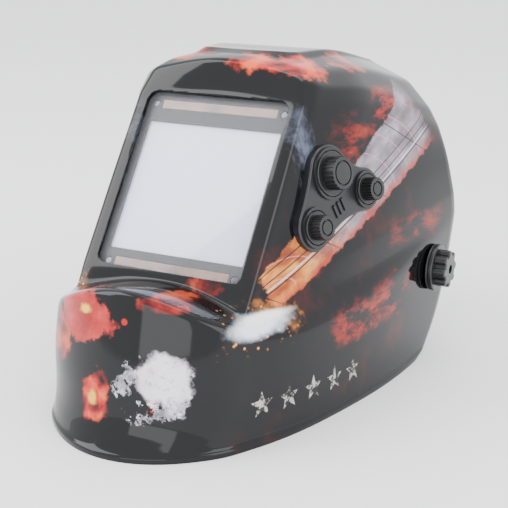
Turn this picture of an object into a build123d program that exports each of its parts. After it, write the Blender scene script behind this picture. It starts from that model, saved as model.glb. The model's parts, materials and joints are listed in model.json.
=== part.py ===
from build123d import *
import os
from math import cos, degrees, hypot, pi, radians, sin, tan

# Auto-darkening welding helmet. Millimetres, +Z up, front faces -Y, the wearer's left is +X.
# The helmet stands on the rim of its shell, which lies in the plane Z = 0.

# driving dimensions
overall_length = 372.0        # rim front to the ratchet knob's rear face
filter_y = -overall_length / 2 + 116.0    # centre of the filter's clear view
filter_z = 141.6
filter_lean = 35.5            # the filter leans back from vertical, degrees
view_width = 100.0
view_height = 93.0
cartridge_width = 114.0
cartridge_height = 133.0
cartridge_shift = 3.5         # cartridge centre above the view centre
window_width = 107.0
window_height = 126.0
window_shift = 3.6
wall = 2.6
pivot_y = filter_y + 148.0
pivot_z = 64.5
band_centre_y = filter_y + 137.0
band_z = pivot_z + 18.0
band_half_width = 80.0
band_half_length = 100.0
band_height = 26.0
gap = 0.3                     # clearance between neighbours that don't fasten together

os.makedirs("parts", exist_ok=True)
finished = []


def finish(builder, label):
    # label a finished piece and write its STEP file
    builder.part.label = label
    export_step(builder.part, f"parts/{label}.step")
    finished.append(label)


def mirrored(builder, left, right):
    # write the wearer's left piece and its mirror image
    finish(builder, left)
    with BuildPart() as other:
        mirror(builder.part, about=Plane.YZ)
    finish(other, right)


# ---------------------------------------------------------------- helmet shell
# Each section is half a horizontal hoop of the shell, given from the filter centre's Y:
# front centre (y, z), front corner, cheek, side and rear edge (x, y, z), then the plan angles
# in degrees at the corner (arriving, leaving), cheek, side and rear edge.
shell_sections = {
    "rim": ((-116, 0), (60, -86.4, 0), (74.3, -64, 0), (101.7, 16, 0), (115, 118, 0), (46, 46, 62, 77, 89)),
    "lip": (
        (-116, 3.4), (60, -86.4, 3.4), (74.3, -64, 3.4), (101.7, 16, 3.4), (115, 133, 3.4),
        (46, 46, 62, 77, 89),
    ),
    "flare": (
        (-114, 5), (59.2, -84.7, 5), (73.2, -62.4, 5), (100.6, 16, 5), (114.6, 138, 5),
        (46, 46, 62, 77, 89),
    ),
    "waist": (
        (-105, 20), (60.5, -78.5, 21), (73, -56.5, 21), (99, 17, 22), (114.8, 160, 22),
        (44, 44, 62, 77, 88),
    ),
    "chin": (
        (-101, 52), (62.5, -76, 50), (75, -54, 48), (99, 15, 44), (116, 176, 50),
        (44, 44, 62, 77, 86),
    ),
    "jaw": ((-89.6, 100), (64, -68, 78), (75, -50, 71), (97, 14, 68), (117, 187, 88), (40, 52, 62, 77, 86)),
    "ledge": (
        (-43.6, 91.7), (62, -51, 81), (67.5, -38, 80), (88, 14, 80), (117.2, 189, 97),
        (-12, 66, 60, 74, 84),
    ),
    "sill": (
        (-41.7, 95.2), (62.5, -41.7, 95.2), (68, -27, 96), (84, 14, 98), (116.6, 186.5, 112),
        (0, 66, 64, 73, 82),
    ),
    "mid": (
        (0.1, 153.8), (62.5, 0.1, 153.8), (68.5, 15, 152), (85, 60, 150), (111.5, 182, 142),
        (0, 66, 67, 74, 80),
    ),
    "head": (
        (35.6, 203.5), (61, 31.5, 198), (67, 40, 197), (84, 92, 192), (103.5, 182, 163),
        (-4, 60, 70, 78, 84),
    ),
    "brow": (
        (42, 223), (56, 42, 213.5), (65, 49, 209), (80, 98, 201), (96, 182, 176),
        (-2, 45, 70, 79, 86),
    ),
    "roof": (
        (51, 224.3), (47, 53, 219.7), (56, 61, 217), (67, 110, 212.5), (78, 183, 195),
        (3, 45, 74, 82, 88),
    ),
    "crest_foot": (
        (58, 224.7), (34, 62, 222.8), (41, 72, 221.6), (46, 120, 219), (50, 184, 206.5),
        (8, 50, 80, 86, 90),
    ),
    "crest_top": (
        (66, 226.6), (30, 69, 226.6), (36, 78, 225.6), (42, 120, 223), (46, 184, 209),
        (8, 50, 80, 86, 90),
    ),
}
# how far the inner skin lies inside each section: inwards in plan, and downwards
inner_steps = {
    "rim": (wall, 6), "lip": (wall, 0), "flare": (wall - 1, 0), "waist": (wall, 0), "chin": (wall, 0),
    "jaw": (wall, 2.6), "ledge": (wall + 0.6, 2.4), "sill": (wall + 0.6, 0), "mid": (wall + 0.6, 0),
    "head": (wall + 0.6, 1.2), "brow": (wall, 2.6), "roof": (1.6, 2.6),
    "crest_foot": (1.2, 2.6), "crest_top": (1.2, 2.6),
}
handle = 0.36                 # length of a curve's handles, as a share of its chord
rear_run_out = 14.0           # the inner skin runs this far past the rear edge


def slope(p, q):
    return (q[2] - p[2]) / hypot(q[0] - p[0], q[1] - p[1])


def curve_points(p, q, leave, arrive, rise_p, rise_q):
    # a cubic from p to q with the plan angles leave and arrive, and the given rises
    reach = handle * hypot(q[0] - p[0], q[1] - p[1])
    a = radians(leave)
    b = radians(arrive)
    first = (p[0] + reach * cos(a), p[1] + reach * sin(a), p[2] + reach * rise_p)
    second = (q[0] - reach * cos(b), q[1] - reach * sin(b), q[2] - reach * rise_q)
    return (p, first, second, q)


def section_edges(section, inward=0.0, down=0.0, run_out=0.0):
    # the four edges of the +X half of a section, from the front centre to the rear edge
    centre, corner, cheek, side, rear, turn = section
    centre = (0, centre[0] + inward, centre[1] - down)
    moved = []
    angles = (0.5 * (turn[0] + turn[1]), turn[2], turn[3], turn[4])
    for point, angle in zip((corner, cheek, side, rear), angles):
        a = radians(angle)
        moved.append((point[0] - inward * sin(a), point[1] + inward * cos(a), point[2] - down))
    corner, cheek, side, rear = moved
    out = radians(turn[4])
    rear = (rear[0] + run_out * cos(out), rear[1] + run_out * sin(out), rear[2])
    rise = slope(centre, corner)
    if abs(centre[2] - corner[2]) > 3:
        rise = 1.4 * rise
    step = slope(corner, cheek)
    at_cheek = 0.5 * (step + slope(cheek, side))
    at_side = 0.5 * (slope(cheek, side) + slope(side, rear))
    cheek_turn = turn[2] if turn[0] == turn[1] else turn[1]
    spans = (
        curve_points(centre, corner, 0, turn[0], 0, rise),
        curve_points(corner, cheek, turn[1], cheek_turn, step, step),
        curve_points(cheek, side, turn[2], turn[3], at_cheek, at_side),
        curve_points(side, rear, turn[3], turn[4], at_side, slope(side, rear)),
    )
    with BuildLine() as half:
        edges = [Bezier(*(Vector(x, y + filter_y, z) for x, y, z in span)) for span in spans]
    return edges


def hoop(edges):
    # both halves of a section, and the straight line across the open back
    other = [edge.mirror(Plane.YZ) for edge in edges]
    rear = edges[-1] @ 1
    back = Edge.make_line(rear, Vector(-rear.X, rear.Y, rear.Z))
    return edges + other + [back]


def skin(sections, steps=None):
    # a closed solid through all the sections, flat between each pair and across the crest
    hoops = []
    for name, section in sections.items():
        inward, down = steps[name] if steps else (0, 0)
        edges = section_edges(section, inward, down, rear_run_out if steps else 0)
        hoops.append(hoop(edges))
    faces = []
    for low, high in zip(hoops, hoops[1:]):
        faces += [Face.make_surface_from_curves(a, b) for a, b in zip(low, high)]
    faces.append(Face(Wire(hoops[0])))
    top = hoops[-1]
    faces += [Face.make_surface_from_curves(top[i], top[i + 4]) for i in (1, 2, 3)]
    nose = Edge.make_line(top[0] @ 1, top[4] @ 1)
    faces.append(Face(Wire([top[0], nose, top[4]])))
    return Solid(Shell(faces))


filter_plane = Plane(
    origin=(0, filter_y, filter_z),
    x_dir=(1, 0, 0),
    z_dir=(0, -cos(radians(filter_lean)), sin(radians(filter_lean))),
)
outward = Axis(filter_plane.origin, filter_plane.z_dir)

# the control pod stands on the left cheek; its plane is the front face of its plate
pod_turn = radians(15)        # the pod's normal, turned forward from +X
pod_rise = radians(11)        # and tilted up
pod_plane = Plane(
    origin=(80.2, filter_y + 36.4, 154.6),
    x_dir=(sin(pod_turn), cos(pod_turn), 0),
    z_dir=(cos(pod_turn) * cos(pod_rise), -sin(pod_turn) * cos(pod_rise), sin(pod_rise)),
)
pod_axis = Axis(pod_plane.origin, pod_plane.z_dir)
# each control: place on the pod plane, plate lobe radius, collar radius, knob radius, knob height
controls = {
    "shade": ((0, 0), 19.0, 17.2, 10.4, 11.0),
    "sensitivity": ((34.5, -16.5), 14.6, 12.6, 7.2, 10.0),
    "delay": ((-21.5, -31.5), 15.6, 13.4, 7.6, 10.0),
}
control_places = [spec[0] for spec in controls.values()]
shaft_radius = 3.0
running = 0.06                # radial clearance of a turning fit
bush_radius = 4.5
pivot_hole_radius = 5.0


def side_plane(x):
    # a plane square to X through the pivot, with local x along +Y and local y along +Z
    return Plane(origin=(x, pivot_y, pivot_z), x_dir=(0, 1, 0), z_dir=(1, 0, 0))


boss_places = [(60.5, 50), (-60.5, 50), (60.5, -42), (-60.5, -42)]
boss_radius = 2.6
retainer_front = -9.0         # front face of the retaining frame, behind the view plane
screw_radius = 1.1

outer = skin(shell_sections)
inner = skin(shell_sections, inner_steps)

with BuildPart() as helmet_shell:
    add(outer)
    add(inner, mode=Mode.SUBTRACT)
    with BuildSketch(filter_plane.offset(retainer_front)):
        with Locations(*boss_places):
            Circle(boss_radius)
    extrude(amount=5 - retainer_front)
    with BuildSketch(filter_plane.offset(retainer_front)):
        with Locations(*boss_places):
            Circle(screw_radius)
    extrude(amount=8, mode=Mode.SUBTRACT)
    with BuildSketch(filter_plane):
        with Locations((0, window_shift)):
            RectangleRounded(window_width, window_height, 8)
    extrude(amount=20, mode=Mode.SUBTRACT)
    with BuildSketch(pod_plane.offset(-16)):
        with Locations(*control_places):
            Circle(bush_radius + gap)
    extrude(amount=16, mode=Mode.SUBTRACT)
    with BuildSketch(side_plane(-130)):
        Circle(pivot_hole_radius)
    extrude(amount=260, mode=Mode.SUBTRACT)
finish(helmet_shell, "helmet_shell")

# ---------------------------------------------------------------- lenses and filter cartridge
# distances along the filter plane's normal: the view plane is 0 and outward is positive
lens_front = 3.5
cartridge_front = 2.0
cartridge_split = -3.0
cartridge_back = -8.0
skin_back = cartridge_back + 2.4
top_strip = 59.2              # centre of the upper solar strip above the view centre
bottom_strip = -55.4
sensor_places = [(47.1, -55.9), (-47.1, -55.9), (48.6, 59.2), (-48.6, 59.2)]
cell_places = [(34, 58.4), (-34, 58.4)]


def slab(low, high, width, height, shift=0.0, corner=0.0, mode=Mode.ADD):
    # a plate parallel to the filter, between two distances along its normal
    with BuildSketch(filter_plane.offset(low)) as outline:
        with Locations((0, shift)):
            if corner:
                RectangleRounded(width, height, corner)
            else:
                Rectangle(width, height)
    extrude(outline.sketch, amount=high - low, mode=mode)


with BuildPart() as front_cover_lens:
    slab(lens_front - 1.2, lens_front, cartridge_width, cartridge_height, cartridge_shift, 6)
finish(front_cover_lens, "front_cover_lens")

with BuildPart() as cartridge_front_case:
    slab(cartridge_split, cartridge_front, cartridge_width, cartridge_height, cartridge_shift, 5)
    slab(cartridge_split, 0, cartridge_width - 4, cartridge_height - 4, cartridge_shift, mode=Mode.SUBTRACT)
    slab(0, 6, view_width, view_height, mode=Mode.SUBTRACT)
    slab(0, 6, 87.4, 6.6, top_strip, mode=Mode.SUBTRACT)
    slab(0, 6, 85.4, 6.4, bottom_strip, mode=Mode.SUBTRACT)
    with BuildSketch(filter_plane):
        with Locations(*sensor_places):
            Circle(2.9)
    extrude(amount=6, mode=Mode.SUBTRACT)
finish(cartridge_front_case, "cartridge_front_case")

with BuildPart() as cartridge_rear_case:
    slab(cartridge_back, cartridge_split, cartridge_width, cartridge_height, cartridge_shift, 5)
    slab(
        skin_back, cartridge_split, cartridge_width - 4, cartridge_height - 4, cartridge_shift,
        mode=Mode.SUBTRACT,
    )
    slab(cartridge_back, cartridge_split, view_width, view_height, mode=Mode.SUBTRACT)
    slab(cartridge_back, cartridge_back + 1.2, view_width + 4.4, view_height + 4.4, mode=Mode.SUBTRACT)
finish(cartridge_rear_case, "cartridge_rear_case")

with BuildPart() as darkening_filter:
    slab(-4.2, -0.2, view_width + 4, view_height + 4)
finish(darkening_filter, "darkening_filter")

with BuildPart() as solar_cell_top:
    slab(0.6, 1.8, 86.8, 6.2, top_strip)
finish(solar_cell_top, "solar_cell_top")

with BuildPart() as solar_cell_bottom:
    slab(0.6, 1.8, 84.8, 6.0, bottom_strip)
finish(solar_cell_bottom, "solar_cell_bottom")

with BuildPart() as arc_sensors:
    with BuildSketch(filter_plane.offset(-0.6)):
        with Locations(*sensor_places):
            Circle(2.6)
    extrude(amount=2.4)
    fillet(arc_sensors.faces().group_by(outward)[-1].edges(), 0.7)
finish(arc_sensors, "arc_sensors")

with BuildPart() as filter_board:
    slab(-3.4, -2.2, 104, 11.6, -55)
    with BuildSketch(filter_plane.offset(-5.0)):
        with Locations((-30, -55), (-8, -55), (20, -55)):
            Rectangle(12, 7)
    extrude(amount=1.6)
finish(filter_board, "filter_board")

with BuildPart() as coin_cells:
    with BuildSketch(filter_plane.offset(-5.4)):
        with Locations(*cell_places):
            Circle(8)
    extrude(amount=3.2)
finish(coin_cells, "coin_cells")

with BuildPart() as battery_clips:
    with BuildSketch(filter_plane.offset(-2.1)):
        with Locations(*cell_places):
            Rectangle(22, 8)
    extrude(amount=0.8)
finish(battery_clips, "battery_clips")

with BuildPart() as inner_cover_lens:
    slab(cartridge_back, cartridge_back + 1.0, view_width + 4, view_height + 4)
finish(inner_cover_lens, "inner_cover_lens")

with BuildPart() as cartridge_gasket:
    slab(
        cartridge_back - 0.9, cartridge_back - 0.1, cartridge_width - 1, cartridge_height - 1,
        cartridge_shift, 5,
    )
    slab(cartridge_back - 0.9, cartridge_back - 0.1, view_width + 5, view_height + 5, mode=Mode.SUBTRACT)
finish(cartridge_gasket, "cartridge_gasket")

frame_depth = 2.5
with BuildPart() as retaining_frame:
    slab(retainer_front - frame_depth, retainer_front, 127, 136, cartridge_shift, 8)
    slab(retainer_front - frame_depth - 1.8, retainer_front - frame_depth, view_width + 9, view_height + 9)
    slab(retainer_front - 6, retainer_front + 1, view_width + 4, view_height + 4, 0, 3, mode=Mode.SUBTRACT)
    with BuildSketch(filter_plane.offset(retainer_front - 6)):
        with Locations(*boss_places):
            Circle(screw_radius + 0.2)
    extrude(amount=8, mode=Mode.SUBTRACT)
finish(retaining_frame, "retaining_frame")

with BuildPart() as retainer_screws:
    with BuildSketch(filter_plane.offset(retainer_front - frame_depth - 1.6)):
        with Locations(*boss_places):
            Circle(2.5)
    extrude(amount=1.6)
    with BuildSketch(filter_plane.offset(retainer_front - frame_depth)):
        with Locations(*boss_places):
            Circle(screw_radius)
    extrude(amount=frame_depth + 6)
finish(retainer_screws, "retainer_screws")

# ---------------------------------------------------------------- control pod
pod_necks = (34.0, 60.0, 150.0)    # radii of the hollows between the plate's lobes
bracket_back = -12.0
bracket_front = -10.4
pot_depth = 8.0
housing_depth = 12.0


def lobed_outline(grow=0.0):
    # three lobes joined by arcs that touch them from outside
    discs = [(Vector(*spec[0]), spec[1] + grow) for spec in controls.values()]
    middle = (discs[0][0] + discs[1][0] + discs[2][0]) / 3
    touches = []
    for i, neck in enumerate(pod_necks):
        (p, rp), (q, rq) = discs[i], discs[(i + 1) % 3]
        span = (q - p).length
        along = (span * span + (rp + neck) ** 2 - (rq + neck) ** 2) / (2 * span)
        across = ((rp + neck) ** 2 - along * along) ** 0.5
        unit = (q - p) / span
        normal = Vector(-unit.Y, unit.X)
        if (p - middle).dot(normal) < 0:
            normal = normal * -1
        hub = p + unit * along + normal * across
        touches.append((p + (hub - p).normalized() * rp, hub, neck, q + (hub - q).normalized() * rq))
    with BuildLine() as line:
        for i in range(3):
            start, hub, neck, end = touches[i]
            halfway = hub + ((start + end) / 2 - hub).normalized() * neck
            ThreePointArc(start, halfway, end)
            disc, radius = discs[(i + 1) % 3]
            ThreePointArc(end, disc + (disc - middle).normalized() * radius, touches[(i + 1) % 3][0])
    make_face(line.edges())


with BuildPart() as pod_plate:
    with BuildSketch(pod_plane.offset(-12)):
        lobed_outline()
    extrude(amount=12)
    fillet(pod_plate.faces().sort_by(pod_axis)[-1].edges(), 1.2)
    for place, lobe, collar, knob_radius, knob_height in controls.values():
        with BuildSketch(pod_plane.offset(-1)):
            with Locations(place):
                Circle(collar)
                Circle(collar - 1.8, mode=Mode.SUBTRACT)
        extrude(amount=2.6)
    with BuildSketch(pod_plane.offset(-1)):
        with Locations(Location((4.5, -23.5), 22)):
            with GridLocations(4.6, 1, 3, 1):
                Rectangle(2.2, 9)
    extrude(amount=2.0)
    with BuildSketch(pod_plane.offset(-16)):
        with Locations(*control_places):
            Circle(bush_radius + 0.1)
    extrude(amount=20, mode=Mode.SUBTRACT)
    add(outer, mode=Mode.SUBTRACT)
finish(pod_plate, "pod_plate")

with BuildPart() as control_bracket:
    with BuildSketch(pod_plane.offset(bracket_back)):
        lobed_outline(-3)
        with Locations(*control_places):
            Circle(bush_radius + 0.1, mode=Mode.SUBTRACT)
    extrude(amount=bracket_front - bracket_back)
finish(control_bracket, "control_bracket")

with BuildPart() as control_housing:
    with BuildSketch(pod_plane.offset(bracket_back - housing_depth)):
        lobed_outline(-3)
    extrude(amount=housing_depth - 0.2)
    with BuildSketch(pod_plane.offset(bracket_back - housing_depth + 1.4)):
        lobed_outline(-4.6)
    extrude(amount=14, mode=Mode.SUBTRACT)
finish(control_housing, "control_housing")

with BuildPart() as control_board:
    with BuildSketch(pod_plane.offset(bracket_back - pot_depth - 1.7)):
        lobed_outline(-5.4)
    extrude(amount=1.4)
finish(control_board, "control_board")

with BuildPart() as pot_nuts:
    with BuildSketch(pod_plane.offset(bracket_front)):
        with Locations(*control_places):
            RegularPolygon(6.2, 6)
            Circle(bush_radius + 0.1, mode=Mode.SUBTRACT)
    extrude(amount=1.8)
finish(pot_nuts, "pot_nuts")

for name, (place, lobe, collar, knob_radius, knob_height) in controls.items():
    with BuildPart() as potentiometer:
        with BuildSketch(pod_plane.offset(bracket_back - pot_depth)):
            with Locations(place):
                Circle(8)
        extrude(amount=pot_depth - 0.1)
        with BuildSketch(pod_plane.offset(bracket_back - 0.1)):
            with Locations(place):
                Circle(bush_radius)
        extrude(amount=-bracket_back - 0.2)
        with BuildSketch(pod_plane.offset(bracket_back - pot_depth + 2)):
            with Locations(place):
                Circle(shaft_radius + running)
        extrude(amount=20, mode=Mode.SUBTRACT)
    finish(potentiometer, f"potentiometer_{name}")

    with BuildPart() as shaft:
        with BuildSketch(pod_plane.offset(bracket_back - pot_depth + 2.5)):
            with Locations(place):
                Circle(shaft_radius)
        extrude(amount=knob_height - 3 - bracket_back + pot_depth - 2.5)
    finish(shaft, f"shaft_{name}")

    with BuildPart() as knob:
        with BuildSketch(pod_plane.offset(0.4)):
            with Locations(place):
                Circle(collar - 2.4)
        extrude(amount=1.8)
        fillet(knob.faces().sort_by(pod_axis)[-1].edges(), 0.8)
        with BuildSketch(pod_plane.offset(1)):
            with Locations(place):
                Circle(knob_radius)
                with PolarLocations(knob_radius, 24):
                    Circle(0.55)
        extrude(amount=knob_height - 1)
        with BuildSketch(pod_plane.offset(knob_height - 1.2)):
            with Locations(place):
                Circle(knob_radius - 2.2)
                Circle(knob_radius - 3.2, mode=Mode.SUBTRACT)
        extrude(amount=4, mode=Mode.SUBTRACT)
        with BuildSketch(pod_plane):
            with Locations(place):
                Circle(shaft_radius)
        extrude(amount=knob_height - 3, mode=Mode.SUBTRACT)
    finish(knob, f"knob_{name}")

# the cable from the cartridge to the controls: straight runs joined by arcs
cable_radius = 1.5
cable_points = [
    filter_plane.from_local_coords(Vector(44, cartridge_shift - cartridge_height / 2, -5)),
    filter_plane.from_local_coords(Vector(44, cartridge_shift - cartridge_height / 2 - 18, -5)),
    Vector(54, filter_y - 33, 62),
    Vector(66, filter_y - 14, 64),
    Vector(71, filter_y + 3, 80),
    pod_plane.from_local_coords(Vector(-20, -65, -18.5)),
    pod_plane.from_local_coords(Vector(-21.5, -44.4, -18.5)),
]


def corner_radii(points):
    # each arc is as large as its two runs allow
    radii = []
    for a, b, c in zip(points, points[1:], points[2:]):
        turn = radians((b - a).get_angle(c - b))
        radii.append(0.45 * min((b - a).length, (c - b).length) * cos(turn / 2) / sin(turn / 2))
    return radii


with BuildPart() as control_cable:
    with BuildLine() as route:
        FilletPolyline(*cable_points, radius=corner_radii(cable_points))
    with BuildSketch(Plane(origin=route.line @ 0, z_dir=route.line % 0)):
        Circle(cable_radius)
    sweep(path=route.line)
finish(control_cable, "control_cable")

# ---------------------------------------------------------------- headgear pivots
# each pair is (inner face, outer face) along X on the left side
stud_head = (99.2, 102.2)
arm_span = (102.4, 106.0)
stop_plate_span = (106.4, 108.0)
friction_span = (108.1, 110.5)
outer_washer_span = (115.5, 116.7)
knob_span = (117.0, 129.0)
stud_radius = 4.0
stud_end = 124.0
stop_radius = 18.0            # the stop peg's distance from the pivot
peg_radius = 2.3
arm_eye_radius = 21.5
tilt_down = 40.0              # the headgear's tilt from rest to the wearing position
tilt_up = 36.0                # and from rest to the raised position


def ring(span, radius, hole=0.0, mode=Mode.ADD):
    # a disc about the pivot axis between two X stations
    with BuildSketch(side_plane(span[0])) as outline:
        Circle(radius)
        if hole:
            Circle(hole, mode=Mode.SUBTRACT)
    extrude(outline.sketch, amount=span[1] - span[0], mode=mode)


with BuildPart() as pivot_stud:
    ring(stud_head, 8.5)
    ring((stud_head[1], stud_end), stud_radius)
mirrored(pivot_stud, "pivot_stud_left", "pivot_stud_right")

with BuildPart() as friction_washer:
    ring(friction_span, 13.5, stud_radius + 0.1)
mirrored(friction_washer, "friction_washer_left", "friction_washer_right")

with BuildPart() as outer_washer:
    ring(outer_washer_span, 17.0, stud_radius + 0.1)
mirrored(outer_washer, "outer_washer_left", "outer_washer_right")

slot_slack = degrees(gap / stop_radius)
slot_start = -90 - tilt_down - slot_slack
slot_path = CenterArc((0, 0), stop_radius, slot_start, tilt_down + tilt_up + 2 * slot_slack)
with BuildPart() as stop_plate:
    ring(stop_plate_span, 22.5, stud_radius + 0.1)
    with BuildSketch(side_plane(stop_plate_span[0] - 1)):
        SlotArc(slot_path, 2 * (peg_radius + gap))
    extrude(amount=5, mode=Mode.SUBTRACT)
mirrored(stop_plate, "stop_plate_left", "stop_plate_right")

with BuildPart() as tension_knob:
    ring((knob_span[0], knob_span[0] + 3.2), 17.3)
    fillet(tension_knob.edges().filter_by(GeomType.CIRCLE), 0.9)
    with BuildSketch(side_plane(knob_span[0] + 2)):
        Circle(11.0)
        with PolarLocations(11.0, 8):
            Circle(3.0)
    extrude(amount=knob_span[1] - knob_span[0] - 2)
    fillet(tension_knob.faces().sort_by(Axis.X)[-1].edges(), 1.2)
    ring((knob_span[0] - 1, stud_end + 1), stud_radius + running, mode=Mode.SUBTRACT)
    ring((knob_span[0] - 1, 140), 3.4, mode=Mode.SUBTRACT)
mirrored(tension_knob, "tension_knob_left", "tension_knob_right")

# ---------------------------------------------------------------- headgear
band_wall = 2.2
band_end = 32.0               # the front band ends this far behind the oval's middle
arm_thickness = arm_span[1] - arm_span[0]
arm_middle = (arm_span[0] + arm_span[1]) / 2
arm_height = 11.0             # half the height of the arm where it lies on the band
rivet_y = 19.0
rivet_rise = 6.0


def band_x(y, half_width, half_length):
    # the oval's half width at a given Y
    return half_width * (1 - ((y - band_centre_y) / half_length) ** 2) ** 0.5


def oval(half_width, half_length, mode=Mode.ADD):
    with Locations((0, band_centre_y)):
        Ellipse(half_width, half_length, mode=mode)


def rivet_plane(side):
    # stands on the band's outer face, square to it, on the +X (1) or -X (-1) side
    x = band_x(rivet_y, band_half_width + band_wall, band_half_length + band_wall)
    across = band_half_width + band_wall
    length = band_half_length + band_wall
    normal = Vector(x / across**2, (rivet_y - band_centre_y) / length**2)
    return Plane(origin=(side * x, rivet_y, band_z), x_dir=(0, 0, 1), z_dir=(side * normal.X, normal.Y, 0))


with BuildPart() as front_band:
    with BuildSketch(Plane.XY.offset(band_z - band_height / 2)):
        oval(band_half_width + band_wall, band_half_length + band_wall)
        oval(band_half_width, band_half_length, Mode.SUBTRACT)
        with Locations((0, band_centre_y + band_end + 100)):
            Rectangle(200, 200, mode=Mode.SUBTRACT)
    extrude(amount=band_height)
    for side in (1, -1):
        with BuildSketch(rivet_plane(side).offset(-10)):
            with Locations((rivet_rise, 0), (-rivet_rise, 0)):
                Circle(2.1)
        extrude(amount=20, mode=Mode.SUBTRACT)
finish(front_band, "front_band")

pad_depth = 7.0
with BuildPart() as sweatband:
    with BuildSketch(Plane.XY.offset(band_z - 17)):
        oval(band_half_width - gap, band_half_length - gap)
        oval(band_half_width - gap - pad_depth, band_half_length - gap - pad_depth, Mode.SUBTRACT)
        with Locations((0, band_centre_y - 30 + 100)):
            Rectangle(200, 200, mode=Mode.SUBTRACT)
    extrude(amount=34)
finish(sweatband, "sweatband")

with BuildPart() as headgear_arm:
    with BuildLine() as arm_line:
        Spline((70.7, 10), (78.5, 28), (91.5, 43), (arm_middle, 57), tangents=((0.54, 1), (0, 1)))
        Line((arm_middle, 57), (arm_middle, pivot_y + 24))
    with BuildSketch(Plane.XY.offset(pivot_z - 30)):
        trace(arm_line.line, arm_thickness)
    extrude(amount=80)
    with BuildSketch(side_plane(50)):
        Circle(arm_eye_radius)
        with BuildLine():
            Polyline(
                (-80, band_z - pivot_z + arm_height), (-40, band_z - pivot_z + arm_height),
                (0, arm_eye_radius), (0, -arm_eye_radius),
                (-40, band_z - pivot_z - arm_height), (-80, band_z - pivot_z - arm_height),
                close=True,
            )
        make_face()
    extrude(amount=70, mode=Mode.INTERSECT)
    ring((arm_span[0] - 5, arm_span[1] + 5), stud_radius + running, mode=Mode.SUBTRACT)
    with BuildSketch(side_plane(arm_span[1])):
        with Locations((0, -stop_radius)):
            Circle(peg_radius)
    extrude(amount=stop_plate_span[1] - arm_span[1] - 0.2)
    with BuildSketch(rivet_plane(1).offset(-10)):
        with Locations((rivet_rise, 0), (-rivet_rise, 0)):
            Circle(2.1)
    extrude(amount=20, mode=Mode.SUBTRACT)
mirrored(headgear_arm, "headgear_arm_left", "headgear_arm_right")

with BuildPart() as arm_rivets:
    for side in (1, -1):
        with BuildSketch(rivet_plane(side).offset(-band_wall + 0.2)):
            with Locations((rivet_rise, 0), (-rivet_rise, 0)):
                Circle(2.0)
        extrude(amount=band_wall + arm_thickness + 0.6)
        with BuildSketch(rivet_plane(side).offset(arm_thickness + 0.7)):
            with Locations((rivet_rise, 0), (-rivet_rise, 0)):
                Circle(3.8)
        extrude(amount=1.4)
finish(arm_rivets, "arm_rivets")

# ---------------------------------------------------------------- rear straps and ratchet
module = 1.0
pinion_teeth = 12
pitch_radius = module * pinion_teeth / 2
backlash = 0.35
rack_y = band_centre_y + 96.9      # middle of the straight rack
strap_wall = 1.8
strap_height = 25.0
rack_end = 14.0                    # each rack reaches this far past the middle
rack_start = 34.0                  # and is narrow up to here
rack_depth = 2.25 * module
flank = module * tan(radians(20))  # how much a flank leans over one module
half_tip = 0.25 * pi * module + backlash / 2 + flank           # half a rack gap's width at its mouth
half_root = 0.25 * pi * module + backlash / 2 - 1.25 * flank   # and at its root
rack_tip = pitch_radius + 0.25 - module
back_plane = Plane(origin=(0, rack_y, band_z), x_dir=(1, 0, 0), z_dir=(0, -1, 0))

with BuildPart() as rear_strap:
    with BuildLine() as strap_line:
        Spline(
            (78.3, band_centre_y + 9), (74.3, band_centre_y + 32), (62, band_centre_y + 63),
            (50, band_centre_y + 84), (rack_start, rack_y),
            tangents=((-0.06, 1), (-1, 0)),
        )
        Line((rack_start, rack_y), (-rack_end, rack_y))
    with BuildSketch(Plane.XY.offset(band_z - strap_height / 2)):
        trace(strap_line.line, strap_wall)
    extrude(amount=strap_height)
    with BuildSketch(back_plane.offset(-20)):
        with Locations((rack_start - 60, rack_tip - 20)):
            Rectangle(120, 40)
        with Locations(*[(i * pi * module, rack_tip) for i in range(-4, 7)]):
            Polygon(
                (-half_tip, -0.1), (half_tip, -0.1), (half_root, rack_depth), (-half_root, rack_depth),
                align=None,
            )
    extrude(amount=40, mode=Mode.SUBTRACT)
finish(rear_strap, "rear_strap_left")

# the right strap is the left one turned half a turn about the ratchet's axis
ratchet_axis = Axis((0, rack_y, band_z), (0, 1, 0))
with BuildPart() as right_strap:
    add(rear_strap.part.rotate(ratchet_axis, 180))
finish(right_strap, "rear_strap_right")

plate_width = 46.0
plate_height = 32.0
backplate_span = (rack_y - 3.1, rack_y - 1.5)     # front and rear faces along Y
housing_span = (rack_y - 1.3, rack_y + 7.1)
pinion_span = (rack_y - 1.2, rack_y + 2.2)
knob_rear = overall_length / 2
knob_front = housing_span[1] + 0.4
ratchet_shaft = 4.0


def back_slab(span, width, height, corner, mode=Mode.ADD):
    # a rounded plate square to Y about the ratchet axis
    with BuildSketch(Plane(origin=(0, span[1], band_z), x_dir=(1, 0, 0), z_dir=(0, -1, 0))) as outline:
        RectangleRounded(width, height, corner)
    extrude(outline.sketch, amount=span[1] - span[0], mode=mode)


def back_disc(span, radius, mode=Mode.ADD):
    # a disc square to Y about the ratchet axis
    with BuildSketch(Plane(origin=(0, span[1], band_z), x_dir=(1, 0, 0), z_dir=(0, -1, 0))) as outline:
        Circle(radius)
    extrude(outline.sketch, amount=span[1] - span[0], mode=mode)


with BuildPart() as ratchet_backplate:
    back_slab(backplate_span, plate_width, plate_height, 6)
    back_disc((backplate_span[0] - 1, backplate_span[1] + 1), 2.5 + running, mode=Mode.SUBTRACT)
finish(ratchet_backplate, "ratchet_backplate")

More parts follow.
